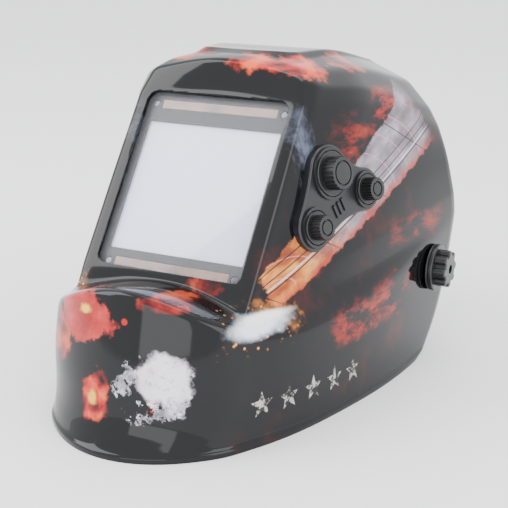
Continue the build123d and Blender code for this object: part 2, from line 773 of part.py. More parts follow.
with BuildPart() as ratchet_housing:
    back_slab(housing_span, plate_width, plate_height, 6)
    back_slab(
        (housing_span[0] - 1, housing_span[1] - 2.2), plate_width - 3.4, plate_height - 3.4, 4.3,
        mode=Mode.SUBTRACT,
    )
    back_slab(
        (housing_span[0] - 1, rack_y + 1.5), plate_width + 10, strap_height + 1, 1, mode=Mode.SUBTRACT,
    )
    back_disc((housing_span[0], housing_span[1] + 1), ratchet_shaft + running, mode=Mode.SUBTRACT)
finish(ratchet_housing, "ratchet_housing")

root_radius = pitch_radius - 1.25 * module
tip_radius = pitch_radius + module
tooth_root = 0.25 * pi * module - backlash / 2 + 0.3
tooth_tip = 0.25 * pi * module - backlash / 2 - flank
with BuildPart() as ratchet_pinion:
    with BuildSketch(Plane(origin=(0, pinion_span[1], band_z), x_dir=(1, 0, 0), z_dir=(0, -1, 0))):
        Circle(root_radius)
        with PolarLocations(0, pinion_teeth):
            Polygon(
                (root_radius - 0.5, -tooth_root), (tip_radius, -tooth_tip),
                (tip_radius, tooth_tip), (root_radius - 0.5, tooth_root), align=None,
            )
    extrude(amount=pinion_span[1] - pinion_span[0])
    back_disc((backplate_span[0] + 0.1, pinion_span[0]), 2.5)
    back_disc((pinion_span[1], knob_rear - 4), ratchet_shaft)
finish(ratchet_pinion, "ratchet_pinion")

with BuildPart() as ratchet_knob:
    with BuildSketch(Plane(origin=(0, knob_rear, band_z), x_dir=(1, 0, 0), z_dir=(0, -1, 0))):
        Circle(19)
        with PolarLocations(18.4, 18):
            Circle(1.6)
    extrude(amount=knob_rear - knob_front)
    fillet(ratchet_knob.faces().sort_by(Axis.Y)[-1].edges(), 0.8)
    back_disc((knob_front - 1, knob_rear - 4), ratchet_shaft, mode=Mode.SUBTRACT)
finish(ratchet_knob, "ratchet_knob")

with BuildPart() as nape_pad:
    back_slab((backplate_span[0] - 9, backplate_span[0] - gap), 43, 38, 8)
finish(nape_pad, "nape_pad")

# ---------------------------------------------------------------- crown straps
crown_wall = 1.6
crown_width = 18.0
crown_lap = 22.0              # each half passes the middle by this much
peg_places = [(10, 0), (-10, 0)]
# each crown strap: Y of its feet, lean of its plane, half width and height of its outer face
crowns = {"front": (55.0, radians(7.8), 77.9, 95.0), "rear": (88.0, radians(-7), 84.0, 95.0)}


def crown_plane(foot_y, lean):
    return Plane(origin=(0, foot_y, band_z), x_dir=(1, 0, 0), z_dir=(0, -cos(lean), -sin(lean)))


def crown_half(plane, half_width, half_height, side):
    # a half hoop with straight feet, kept on one side of the middle plus the lap
    with BuildSketch(plane.offset(-crown_width / 2)) as outline:
        Ellipse(half_width, half_height)
        Rectangle(2 * half_width, 18)
        Ellipse(half_width - crown_wall, half_height - crown_wall, mode=Mode.SUBTRACT)
        Rectangle(2 * (half_width - crown_wall), 20, mode=Mode.SUBTRACT)
        with Locations((0, -109)):
            Rectangle(400, 200, mode=Mode.SUBTRACT)
        with Locations((-side * (100 + crown_lap), 50)):
            Rectangle(200, 200, mode=Mode.SUBTRACT)
    extrude(outline.sketch, amount=crown_width)
    holes = Plane(origin=plane.from_local_coords(Vector(0, 60, 0)), x_dir=(1, 0, 0), z_dir=plane.y_dir)
    with BuildSketch(holes) as cuts:
        with Locations(*peg_places):
            Circle(2.1)
    extrude(cuts.sketch, amount=60, mode=Mode.SUBTRACT)


for name, (foot_y, lean, half_width, half_height) in crowns.items():
    plane = crown_plane(foot_y, lean)
    for side, label in ((1, "left"), (-1, "right")):
        lift = 0 if side > 0 else 2.0
        with BuildPart() as crown_strap:
            crown_half(plane, half_width, half_height + lift, side)
        finish(crown_strap, f"crown_{name}_{label}")

with BuildPart() as crown_pegs:
    for foot_y, lean, half_width, half_height in crowns.values():
        plane = crown_plane(foot_y, lean)
        cap = plane.from_local_coords(Vector(0, half_height + 2.1, 0))
        with BuildSketch(Plane(origin=cap, x_dir=(1, 0, 0), z_dir=plane.y_dir)):
            with Locations(*peg_places):
                Circle(4)
        extrude(amount=1.6)
        with BuildSketch(Plane(origin=cap, x_dir=(1, 0, 0), z_dir=plane.y_dir)):
            with Locations(*peg_places):
                Circle(2)
        extrude(amount=-4.6)
finish(crown_pegs, "crown_pegs")
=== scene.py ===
import bpy
import json
from math import cos, pi, radians, sin
from mathutils import Matrix, Vector


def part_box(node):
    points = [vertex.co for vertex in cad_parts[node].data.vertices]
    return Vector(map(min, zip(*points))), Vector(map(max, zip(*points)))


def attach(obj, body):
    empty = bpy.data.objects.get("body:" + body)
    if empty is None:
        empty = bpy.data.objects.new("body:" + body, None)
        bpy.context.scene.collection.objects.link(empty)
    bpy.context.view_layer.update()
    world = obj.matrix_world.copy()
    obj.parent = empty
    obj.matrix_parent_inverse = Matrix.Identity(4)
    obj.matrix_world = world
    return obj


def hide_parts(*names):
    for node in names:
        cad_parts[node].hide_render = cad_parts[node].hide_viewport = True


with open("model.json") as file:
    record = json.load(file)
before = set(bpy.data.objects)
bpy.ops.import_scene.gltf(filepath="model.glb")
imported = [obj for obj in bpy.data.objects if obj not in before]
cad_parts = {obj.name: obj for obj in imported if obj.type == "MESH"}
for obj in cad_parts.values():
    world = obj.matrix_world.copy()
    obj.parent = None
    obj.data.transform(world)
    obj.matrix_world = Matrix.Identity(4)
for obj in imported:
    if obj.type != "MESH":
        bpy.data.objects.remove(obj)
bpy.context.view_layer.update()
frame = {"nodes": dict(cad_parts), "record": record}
nodes = frame["nodes"]
mm = 0.001
print("frame loaded:", len(nodes), "nodes")


# ------------------------------------------------------------ camera, floor and light
camera = {"place": (0.3763, -0.7125, 0.3287), "turn": 27.4, "tilt": 17.2, "lens": 82.74}
floorSize = 12.0
lamps = {
    "keyLight": {"place": (-1.25, -0.75, 1.25), "aim": (0, -0.05, 0.14), "size": (1.0, 1.3), "watts": 24},
    "sideLight": {"place": (1.7, -0.55, 0.9), "aim": (0.05, 0, 0.12), "size": (0.9, 1.4), "watts": 14},
    "topLight": {"place": (0.1, 0.25, 1.7), "aim": (0, 0.02, 0.1), "size": (1.0, 0.7), "watts": 8},
    "lowLight": {"place": (0.25, -1.6, 0.30), "aim": (0, -0.1, 0.08), "size": (1.2, 0.5), "watts": 5},
}


def pointAt(item, aim):
    item.rotation_euler = (Vector(aim) - item.location).to_track_quat("-Z", "Y").to_euler()


def makeCamera():
    data = bpy.data.cameras.new("camera")
    item = bpy.data.objects.new("camera", data)
    bpy.context.scene.collection.objects.link(item)
    item.location = camera["place"]
    item.rotation_euler = (radians(90 - camera["tilt"]), 0, radians(camera["turn"]))
    data.lens = camera["lens"]
    data.sensor_width = 36
    bpy.context.scene.camera = item


def makeLights():
    for name, lamp in lamps.items():
        data = bpy.data.lights.new(name, "AREA")
        data.shape = "RECTANGLE"
        data.size, data.size_y = lamp["size"]
        data.energy = lamp["watts"]
        item = bpy.data.objects.new(name, data)
        bpy.context.scene.collection.objects.link(item)
        item.location = lamp["place"]
        pointAt(item, lamp["aim"])
    world = bpy.data.worlds.new("studio")
    world.use_nodes = True
    world.node_tree.nodes["Background"].inputs["Color"].default_value = (0.97, 0.98, 1.0, 1)
    world.node_tree.nodes["Background"].inputs["Strength"].default_value = 1.95
    bpy.context.scene.world = world


def makeFloor():
    bpy.ops.mesh.primitive_plane_add(size=floorSize)
    floor = bpy.context.object
    floor.name = "floor"
    paint = bpy.data.materials.new("floorPaint")
    paint.use_nodes = True
    shader = paint.node_tree.nodes["Principled BSDF"]
    shader.inputs["Base Color"].default_value = (0.97, 0.97, 0.97, 1)
    shader.inputs["Roughness"].default_value = 0.6
    floor.data.materials.append(paint)


makeCamera()
makeLights()
makeFloor()
print("camera, lights and floor are set")


# ------------------------------------------------------------ material building
class Finish:
    # a material whose pattern follows the piece's own Object coordinates, in metres
    def __init__(self, name, colour, roughness, metallic=0.0):
        self.material = bpy.data.materials.new(name)
        self.material.use_nodes = True
        self.nodes = self.material.node_tree.nodes
        self.links = self.material.node_tree.links
        self.shader = self.nodes["Principled BSDF"]
        self.shader.inputs["Base Color"].default_value = (*colour, 1)
        self.shader.inputs["Roughness"].default_value = roughness
        self.shader.inputs["Metallic"].default_value = metallic
        self.place = self.nodes.new("ShaderNodeTexCoord").outputs["Object"]

    def put(self, socket, value):
        if isinstance(value, bpy.types.NodeSocket):
            self.links.new(value, socket)
        else:
            socket.default_value = value

    def calc(self, kind, a, b=0.0, c=0.0):
        node = self.nodes.new("ShaderNodeMath")
        node.operation = kind
        for socket, value in zip(node.inputs, (a, b, c)):
            self.put(socket, value)
        return node.outputs[0]

    def vector(self, kind, a, b=(0, 0, 0)):
        node = self.nodes.new("ShaderNodeVectorMath")
        node.operation = kind
        self.put(node.inputs[0], a)
        self.put(node.inputs[1], b)
        return node.outputs["Value"] if kind in ("DOT_PRODUCT", "LENGTH") else node.outputs["Vector"]

    def noise(self, scale, detail=3.0, rough=0.5, place=None, colour=False):
        node = self.nodes.new("ShaderNodeTexNoise")
        self.put(node.inputs["Vector"], place or self.place)
        node.inputs["Scale"].default_value = scale
        node.inputs["Detail"].default_value = detail
        node.inputs["Roughness"].default_value = rough
        return node.outputs["Color" if colour else "Fac"]

    def cells(self, scale, place=None):
        node = self.nodes.new("ShaderNodeTexVoronoi")
        self.put(node.inputs["Vector"], place or self.place)
        node.inputs["Scale"].default_value = scale
        return node.outputs["Distance"]

    def step(self, value, low, high):
        # 0 below low, 1 above high, smooth between; low above high turns it round
        node = self.nodes.new("ShaderNodeMapRange")
        node.interpolation_type = "SMOOTHSTEP"
        if low > high:
            self.put(node.inputs["Value"], value)
            node.inputs["From Min"].default_value = high
            node.inputs["From Max"].default_value = low
            node.inputs["To Min"].default_value = 1
            node.inputs["To Max"].default_value = 0
        else:
            self.put(node.inputs["Value"], value)
            node.inputs["From Min"].default_value = low
            node.inputs["From Max"].default_value = high
        return node.outputs["Result"]

    def ramp(self, value, stops):
        node = self.nodes.new("ShaderNodeValToRGB")
        self.put(node.inputs["Fac"], value)
        items = node.color_ramp.elements
        while len(items) < len(stops):
            items.new(0.5)
        for item, (place, colour) in zip(items, stops):
            item.position = place
            item.color = (*colour, 1)
        return node.outputs["Color"]

    def over(self, below, above, mask):
        # the colour above laid over the one below where the mask is 1
        node = self.nodes.new("ShaderNodeMix")
        node.data_type = "RGBA"
        self.put(node.inputs["Factor"], mask)
        for socket, value in ((node.inputs[6], below), (node.inputs[7], above)):
            self.put(socket, value if isinstance(value, bpy.types.NodeSocket) else (*value, 1))
        return node.outputs[2]

    def times(self, *values):
        result = values[0]
        for value in values[1:]:
            result = self.calc("MULTIPLY", result, value)
        return result

    def spot(self, place, centre, size, ragged=0.0, grain=60.0, soft=0.3):
        # 1 inside an ellipsoid about a centre, with a ragged edge
        away = self.vector("SUBTRACT", place, centre)
        away = self.vector("MULTIPLY", away, tuple(1 / value for value in size))
        reach = self.vector("LENGTH", away)
        if ragged:
            rough = self.noise(grain, 5.0, 0.62)
            reach = self.calc("MULTIPLY_ADD", self.calc("SUBTRACT", rough, 0.5), -2 * ragged, reach)
        return self.step(reach, 1.0, 1.0 - soft)

    def bump(self, height, strength, distance):
        node = self.nodes.new("ShaderNodeBump")
        self.put(node.inputs["Height"], height)
        node.inputs["Strength"].default_value = strength
        node.inputs["Distance"].default_value = distance
        self.links.new(node.outputs["Normal"], self.shader.inputs["Normal"])

    def colour(self, value):
        self.put(self.shader.inputs["Base Color"], value)

    def rough(self, value):
        self.put(self.shader.inputs["Roughness"], value)


def mouldedPlastic(name, colour, roughness=0.42, grain=2600.0, depth=0.00005):
    finish = Finish(name, colour, roughness)
    worn = finish.noise(35.0, 4.0, 0.6)
    lighter = tuple(min(1.0, value * 1.5 + 0.006) for value in colour)
    finish.colour(finish.over(colour, lighter, finish.step(worn, 0.45, 0.75)))
    finish.rough(finish.calc("MULTIPLY_ADD", worn, 0.16, roughness - 0.08))
    finish.bump(finish.noise(grain, 2.0, 0.5), 0.35, depth)
    return finish.material


def brushedMetal(name, colour, roughness=0.32, stretch=(1, 1, 12)):
    finish = Finish(name, colour, roughness, 1.0)
    along = finish.vector("MULTIPLY", finish.place, stretch)
    streaks = finish.noise(900.0, 3.0, 0.55, along)
    darker = tuple(value * 0.72 for value in colour)
    finish.colour(finish.over(darker, colour, streaks))
    finish.rough(finish.calc("MULTIPLY_ADD", streaks, 0.22, roughness - 0.1))
    finish.bump(streaks, 0.2, 0.00003)
    return finish.material


def rubberSkin(name, colour):
    finish = Finish(name, colour, 0.6)
    dust = finish.noise(140.0, 5.0, 0.6)
    finish.colour(
        finish.over(colour, tuple(value * 1.9 + 0.01 for value in colour), finish.step(dust, 0.5, 0.8)),
    )
    finish.bump(finish.noise(1700.0, 2.0, 0.5), 0.3, 0.00006)
    return finish.material


def clearLens(name):
    finish = Finish(name, (0.80, 0.82, 0.88), 0.04)
    finish.shader.inputs["Alpha"].default_value = 0.05
    finish.shader.inputs["IOR"].default_value = 1.5
    smears = finish.noise(26.0, 5.0, 0.65)
    finish.rough(finish.calc("MULTIPLY_ADD", finish.step(smears, 0.45, 0.8), 0.06, 0.03))
    return finish.material


def filterGlass(name):
    finish = Finish(name, (0.62, 0.66, 0.88), 0.06)
    finish.shader.inputs["Coat Weight"].default_value = 1.0
    finish.shader.inputs["Coat Roughness"].default_value = 0.03
    wide = finish.noise(9.0, 2.0, 0.4)
    finish.colour(
        finish.ramp(
            wide, ((0.3, (0.66, 0.71, 0.93)), (0.55, (0.72, 0.74, 0.93)), (0.8, (0.78, 0.77, 0.93))),
        ),
    )
    return finish.material


def solarCell(name):
    finish = Finish(name, (0.26, 0.13, 0.08), 0.22)
    finish.shader.inputs["Coat Weight"].default_value = 0.8
    across = finish.vector("DOT_PRODUCT", finish.place, (1, 0, 0))
    lines = finish.calc("PINGPONG", across, 0.0011)
    patches = finish.noise(70.0, 3.0, 0.6)
    copper = finish.ramp(
        patches, ((0.3, (0.13, 0.06, 0.05)), (0.55, (0.30, 0.15, 0.10)), (0.8, (0.42, 0.26, 0.19))),
    )
    finish.colour(finish.over((0.05, 0.03, 0.03), copper, finish.step(lines, 0.00008, 0.0003)))
    bars = finish.calc("PINGPONG", across, 0.0105)
    finish.bump(finish.step(bars, 0.0, 0.0006), 0.3, 0.0001)
    return finish.material


def circuitBoard(name):
    finish = Finish(name, (0.02, 0.16, 0.07), 0.35)
    tracks = finish.cells(420.0)
    finish.colour(finish.over((0.02, 0.13, 0.06), (0.05, 0.30, 0.14), finish.step(tracks, 0.35, 0.5)))
    finish.bump(tracks, 0.2, 0.0001)
    return finish.material


def darkDome(name):
    finish = Finish(name, (0.05, 0.025, 0.07), 0.08)
    finish.shader.inputs["Coat Weight"].default_value = 1.0
    finish.colour(finish.over((0.03, 0.015, 0.05), (0.09, 0.04, 0.10), finish.noise(300.0)))
    return finish.material


def paddedCloth(name, colour):
    finish = Finish(name, colour, 0.85)
    finish.shader.inputs["Sheen Weight"].default_value = 0.4
    finish.shader.inputs["Sheen Roughness"].default_value = 0.5
    warp = finish.nodes.new("ShaderNodeTexWave")
    warp.wave_type = "BANDS"
    warp.bands_direction = "Z"
    warp.inputs["Scale"].default_value = 260.0
    warp.inputs["Distortion"].default_value = 1.2
    finish.put(warp.inputs["Vector"], finish.place)
    knit = finish.calc("ADD", warp.outputs["Fac"], finish.cells(900.0))
    fade = finish.noise(30.0, 4.0, 0.6)
    lighter = tuple(value * 1.8 + 0.01 for value in colour)
    finish.colour(finish.over(colour, lighter, finish.times(finish.step(fade, 0.35, 0.8), 0.8)))
    finish.bump(knit, 0.5, 0.0003)
    return finish.material


# ------------------------------------------------------------ the shell's printed artwork
band = {
    "start": (0, -0.098, 0.086), "turn": radians(21.5), "length": 0.215, "low": -0.006, "high": 0.016,
    "grow": 0.13,
}
stars = {
    "places": ((-0.122, 0.026), (-0.102, 0.0255), (-0.081, 0.025), (-0.060, 0.0245), (-0.040, 0.024)),
    "radius": 0.0088,
}
blackPaint = (0.0035, 0.0035, 0.0045)


def bandFields(finish, place):
    # distance along the printed metal band, distance across it, and its mask
    along = (0, cos(band["turn"]), sin(band["turn"]))
    across = (0, -sin(band["turn"]), cos(band["turn"]))
    start = finish.vector("SUBTRACT", place, band["start"])
    s = finish.vector("DOT_PRODUCT", start, along)
    t = finish.vector("DOT_PRODUCT", start, across)
    rough = finish.calc("SUBTRACT", finish.noise(85.0, 6.0, 0.65), 0.5)
    tRough = finish.calc("MULTIPLY_ADD", rough, 0.010, t)
    top = finish.calc("MULTIPLY_ADD", s, band["grow"], band["high"])
    low = finish.step(finish.calc("SUBTRACT", tRough, band["low"]), -0.0006, 0.0012)
    high = finish.step(finish.calc("SUBTRACT", top, tRough), -0.0006, 0.0012)
    sRough = finish.calc("MULTIPLY_ADD", rough, 0.022, s)
    ends = finish.times(
        finish.step(sRough, -0.002, 0.002), finish.step(sRough, band["length"], band["length"] - 0.03),
    )
    return s, t, finish.times(low, high, ends)


def metalArtwork(finish, s, t):
    # brushed plates, golden at the low end and grey-lilac further back
    pair = finish.nodes.new("ShaderNodeCombineXYZ")
    finish.put(pair.inputs[0], finish.times(s, 0.45))
    finish.put(pair.inputs[1], t)
    streaks = finish.noise(95.0, 4.0, 0.5, pair.outputs[0])
    steel = finish.ramp(streaks, (
        (0.25, (0.10, 0.085, 0.10)), (0.42, (0.19, 0.16, 0.19)),
        (0.55, (0.27, 0.24, 0.28)), (0.75, (0.46, 0.40, 0.46)),
    ))
    warm = finish.ramp(streaks, (
        (0.25, (0.08, 0.012, 0.006)), (0.42, (0.34, 0.07, 0.015)),
        (0.55, (0.62, 0.22, 0.04)), (0.72, (0.85, 0.50, 0.14)),
    ))
    warmth = finish.step(finish.calc("MULTIPLY_ADD", finish.noise(30.0), 0.05, s), 0.125, 0.06)
    metal = finish.over(steel, warm, warmth)
    arcs = finish.calc("PINGPONG", finish.vector("LENGTH", pair.outputs[0]), 0.0046)
    metal = finish.over(metal, (0.70, 0.30, 0.28), finish.times(finish.step(arcs, 0.0004, 0.0001), 0.55))
    for level, width in ((0.0042, 0.0006), (0.0098, 0.0005), (0.0150, 0.0005)):
        seam = finish.step(finish.calc("ABSOLUTE", finish.calc("SUBTRACT", t, level)), width, width * 0.3)
        metal = finish.over(metal, (0.02, 0.010, 0.014), seam)
    joins = finish.calc("PINGPONG", finish.calc("ADD", s, finish.times(t, 0.8)), 0.031)
    metal = finish.over(metal, (0.02, 0.010, 0.014), finish.step(joins, 0.0007, 0.0002))
    glint = finish.step(finish.calc("ABSOLUTE", finish.calc("SUBTRACT", t, 0.0058)), 0.0009, 0.0002)
    metal = finish.over(metal, (0.80, 0.72, 0.76), finish.times(glint, 0.6))
    low = finish.step(finish.calc("MULTIPLY_ADD", finish.noise(60.0, 5.0, 0.6), 0.012, t), 0.0075, 0.0005)
    metal = finish.over(metal, (0.42, 0.035, 0.012), finish.times(low, 0.8))
    worn = finish.step(finish.noise(160.0, 6.0, 0.7), 0.62, 0.70)
    return finish.over(metal, (0.05, 0.012, 0.012), finish.times(worn, 0.6))


def flameColour(finish, place, scale):
    rising = finish.vector("MULTIPLY", place, (1, 0.6, 1.6))
    heat = finish.noise(scale, 7.0, 0.68, rising)
    return heat, finish.ramp(heat, (
        (0.40, (0.010, 0.0005, 0.0005)), (0.50, (0.20, 0.005, 0.004)),
        (0.62, (0.50, 0.030, 0.010)), (0.76, (0.85, 0.27, 0.04)),
    ))


def lavaColour(finish, place, scale):
    drift = finish.vector(
        "ADD", place,
        finish.vector("MULTIPLY", finish.noise(40.0, 3.0, colour=True), (0.02, 0.02, 0.02)),
    )
    rocks = finish.cells(scale, drift)
    glow = finish.noise(75.0, 6.0, 0.65)
    heat = finish.calc("MULTIPLY_ADD", rocks, 0.55, finish.times(glow, 0.62))
    return finish.ramp(heat, (
        (0.36, (0.006, 0.001, 0.001)), (0.46, (0.15, 0.003, 0.003)),
        (0.58, (0.48, 0.016, 0.012)), (0.72, (0.80, 0.11, 0.03)),
    ))


def starField(finish, place, centre, radius):
    # a five-pointed star in the Y-Z plane: 1 inside
    parts = finish.nodes.new("ShaderNodeSeparateXYZ")
    finish.put(parts.inputs[0], place)
    dy = finish.times(finish.calc("SUBTRACT", parts.outputs[1], centre[0]), 1.12)
    dz = finish.calc("SUBTRACT", parts.outputs[2], centre[1])
    angle = finish.calc("ARCTAN2", dy, dz)
    fold = finish.calc("PINGPONG", angle, pi / 5)
    reach = finish.calc("SQRT", finish.calc("ADD", finish.times(dy, dy), finish.times(dz, dz)))
    inner = radius * 0.42
    nx = inner * sin(pi / 5)
    ny = radius - inner * cos(pi / 5)
    side = finish.calc(
        "ADD", finish.times(reach, finish.calc("COSINE", fold), nx),
        finish.times(reach, finish.calc("SINE", fold), ny),
    )
    limit = nx * radius
    return finish.step(side, limit * 1.06, limit * 0.94)


# each spot has a centre, a size and a strength
flameSpots = (
    ((0.102, -0.034, 0.056), (0.05, 0.036, 0.017), 0.9),
    ((0.108, 0.014, 0.060), (0.05, 0.038, 0.022), 0.7),
    ((0.094, 0.050, 0.182), (0.06, 0.045, 0.022), 0.95),
    ((0.105, 0.060, 0.100), (0.05, 0.050, 0.016), 0.45),
    ((0.090, 0.000, 0.172), (0.05, 0.030, 0.020), 0.55),
    ((0.080, -0.060, 0.105), (0.05, 0.020, 0.016), 0.8),
)
# embers on the chin and the roof
emberSpots = (
    ((-0.052, -0.150, 0.060), (0.018, 0.04, 0.018), 0.7),
    ((-0.014, -0.172, 0.034), (0.014, 0.03, 0.016), 1.0),
    ((0.030, -0.145, 0.094), (0.018, 0.05, 0.006), 0.5),
    ((0.018, -0.022, 0.224), (0.020, 0.016, 0.012), 1.0),
    ((0.050, -0.010, 0.220), (0.022, 0.024, 0.012), 1.0),
    ((0.056, 0.040, 0.216), (0.018, 0.020, 0.012), 0.7),
    ((-0.040, 0.000, 0.221), (0.026, 0.030, 0.012), 0.8),
)


def shellPaint():
    finish = Finish("shellPaint", blackPaint, 0.13)
    finish.shader.inputs["Specular IOR Level"].default_value = 0.32
    parts = finish.nodes.new("ShaderNodeSeparateXYZ")
    finish.put(parts.inputs[0], finish.place)
    x, y, z = parts.outputs
    join = finish.nodes.new("ShaderNodeCombineXYZ")
    finish.put(join.inputs[0], finish.calc("ABSOLUTE", x))
    finish.put(join.inputs[1], y)
    finish.put(join.inputs[2], z)
    folded = join.outputs[0]
    onSide = finish.step(finish.calc("ABSOLUTE", x), 0.056, 0.066)

    # dark red haze and embers over both sides
    haze = finish.noise(22.0, 6.0, 0.62)
    colour = finish.over(
        blackPaint, (0.055, 0.006, 0.005), finish.times(finish.step(haze, 0.52, 0.75), onSide),
    )
    heat, flames = flameColour(finish, finish.place, 48.0)
    for centre, size, strength in flameSpots:
        mask = finish.spot(folded, centre, size, 0.55, 55.0, 0.75)
        colour = finish.over(colour, flames, finish.times(mask, finish.step(heat, 0.42, 0.55), strength))

    # pale smoke over the front of the side panel
    wisps = finish.noise(36.0, 7.0, 0.7, finish.vector("MULTIPLY", finish.place, (1, 1.7, 0.7)))
    smoke = finish.times(
        finish.spot(folded, (0.068, -0.046, 0.172), (0.03, 0.018, 0.038), 0.5, 70.0, 0.8),
        finish.step(wisps, 0.47, 0.66),
    )
    colour = finish.over(colour, (0.13, 0.15, 0.22), finish.times(smoke, 0.7))

    # the printed metal band
    s, t, mask = bandFields(finish, folded)
    colour = finish.over(colour, metalArtwork(finish, s, t), finish.times(mask, onSide))

    # white flash with a golden, glittering edge at the band's low end
    sparks = finish.step(finish.cells(230.0), 0.30, 0.12)
    rim = finish.spot(folded, (0.068, -0.117, 0.074), (0.030, 0.040, 0.017), 0.75, 110.0, 0.5)
    colour = finish.over(
        colour, (0.85, 0.30, 0.05),
        finish.times(rim, finish.calc("MAXIMUM", sparks, finish.step(haze, 0.5, 0.7))),
    )
    glare = finish.spot(folded, (0.070, -0.116, 0.0755), (0.024, 0.034, 0.0085), 0.35, 80.0, 0.65)
    colour = finish.over(colour, (0.80, 0.86, 0.98), glare)
    beam = finish.spot(folded, (0.071, -0.108, 0.0785), (0.022, 0.030, 0.0035), 0.12, 80.0, 0.7)
    colour = finish.over(colour, (1.0, 0.97, 0.90), beam)

    # embers, and a flat red patch with a yellow spot, on the chin and the roof
    lava = lavaColour(finish, finish.place, 62.0)
    for centre, size, strength in emberSpots:
        spot = finish.spot(finish.place, centre, size, 0.75, 70.0, 0.35)
        colour = finish.over(colour, lava, finish.times(spot, strength))
    flat = finish.spot(finish.place, (-0.030, -0.160, 0.080), (0.027, 0.04, 0.017), 0.7, 75.0, 0.2)
    rose = finish.ramp(
        finish.noise(55.0, 4.0, 0.6),
        ((0.35, (0.30, 0.012, 0.012)), (0.6, (0.50, 0.040, 0.036)), (0.75, (0.62, 0.09, 0.075))),
    )
    colour = finish.over(colour, rose, flat)
    spark = finish.spot(finish.place, (-0.016, -0.172, 0.032), (0.005, 0.02, 0.006), 0.6, 110.0, 0.6)
    colour = finish.over(colour, (0.80, 0.42, 0.05), spark)
    coal = finish.spot(finish.place, (0.004, -0.162, 0.082), (0.0026, 0.02, 0.0024), 0.3, 110.0, 0.4)
    colour = finish.over(colour, (0.42, 0.012, 0.010), coal)
    ember = finish.spot(finish.place, (-0.027, -0.158, 0.084), (0.007, 0.02, 0.004), 0.7, 110.0, 0.6)
    colour = finish.over(colour, (0.85, 0.50, 0.04), ember)

    # a torn pale patch low on the chin
    torn = finish.step(finish.noise(62.0, 8.0, 0.72), 0.455, 0.475)
    patch = finish.spot(finish.place, (0.026, -0.170, 0.043), (0.028, 0.03, 0.022), 0.95, 52.0, 0.16)
    flecks = finish.step(finish.noise(210.0, 5.0, 0.7), 0.56, 0.60)
    pale = finish.ramp(
        finish.noise(120.0, 6.0, 0.7),
        ((0.35, (0.13, 0.13, 0.15)), (0.5, (0.42, 0.41, 0.46)), (0.65, (0.74, 0.73, 0.78))),
    )
    pale = finish.over(pale, (0.02, 0.012, 0.012), flecks)
    pale = finish.over(
        pale, (0.42, 0.02, 0.02),
        finish.step(
            finish.noise(95.0, 4.0, 0.6, finish.vector("ADD", finish.place, (3, 1, 2))), 0.62, 0.66,
        ),
    )
    colour = finish.over(colour, pale, finish.times(patch, torn))
    smoothPatch = finish.spot(finish.place, (0.031, -0.166, 0.050), (0.020, 0.03, 0.017), 0.5, 60.0, 0.25)
    blush = finish.ramp(
        finish.noise(48.0, 3.0, 0.5), ((0.35, (0.62, 0.50, 0.60)), (0.6, (0.80, 0.78, 0.84))),
    )
    colour = finish.over(
        colour, blush,
        finish.times(smoothPatch, finish.calc("SUBTRACT", 1.0, finish.times(flecks, 0.35))),
    )

    # a row of worn stars along the lower edge
    starMask = None
    for centre in stars["places"]:
        one = starField(finish, finish.place, centre, stars["radius"])
        starMask = one if starMask is None else finish.calc("MAXIMUM", starMask, one)
    chipped = finish.step(finish.noise(230.0, 6.0, 0.75), 0.47, 0.56)
    starPaint = finish.over((0.012, 0.011, 0.011), (0.42, 0.41, 0.39), chipped)
    colour = finish.over(colour, starPaint, finish.times(starMask, onSide))

    finish.colour(colour)
    finish.rough(finish.calc("MULTIPLY_ADD", finish.noise(14.0, 3.0, 0.5), 0.04, 0.05))
    return finish.material


# ------------------------------------------------------------ mesh helpers
def link(item):
    bpy.context.scene.collection.objects.link(item)
    return item


def meshObject(name, points, faces):
    mesh = bpy.data.meshes.new(name)
    mesh.from_pydata(points, [], faces)
    mesh.validate()
    return link(bpy.data.objects.new(name, mesh))


def pick(item):
    bpy.ops.object.select_all(action="DESELECT")
    item.select_set(True)
    bpy.context.view_layer.objects.active = item


def applyModifiers(item):
    pick(item)
    for modifier in list(item.modifiers):
        bpy.ops.object.modifier_apply(modifier=modifier.name)


def applyPlace(item):
    pick(item)
    bpy.ops.object.transform_apply(location=True, rotation=True, scale=True)


def cleanMesh(item, distance=0.00002):
    pick(item)
    bpy.ops.object.mode_set(mode="EDIT")
    bpy.ops.mesh.select_all(action="SELECT")
    bpy.ops.mesh.remove_doubles(threshold=distance)
    bpy.ops.mesh.normals_make_consistent(inside=False)
    bpy.ops.object.mode_set(mode="OBJECT")


def smoothByAngle(item, angle=35):
    pick(item)
    bpy.ops.object.shade_smooth_by_angle(angle=radians(angle))


def paintWith(item, material):
    item.data.materials.clear()
    item.data.materials.append(material)


def cutWith(item, cutter):
    modifier = item.modifiers.new("cut", "BOOLEAN")
    modifier.operation = "DIFFERENCE"
    modifier.solver = "EXACT"
    modifier.object = cutter
    applyModifiers(item)
    bpy.data.objects.remove(cutter, do_unlink=True)


# planes shared with the CAD frame, in metres
filterCentre = Vector((0, -0.070, 0.1416))
filterLean = radians(35.5)
filterOut = Vector((0, -cos(filterLean), sin(filterLean)))
filterUp = Vector((0, sin(filterLean), cos(filterLean)))
podTurn = radians(15)
podRise = radians(11)
podCentre = Vector((0.0802, -0.0336, 0.1546))
podOut = Vector((cos(podTurn) * cos(podRise), -sin(podTurn) * cos(podRise), sin(podRise)))
podBack = Vector((sin(podTurn), cos(podTurn), 0))
podUp = podOut.cross(podBack)
pivot = Vector((0, 0.078, 0.0645))
sideX = Vector((1, 0, 0))


def placed(origin, xDir, yDir, zDir):
    turn = Matrix((xDir, yDir, zDir)).transposed().to_4x4()
    return Matrix.Translation(origin) @ turn


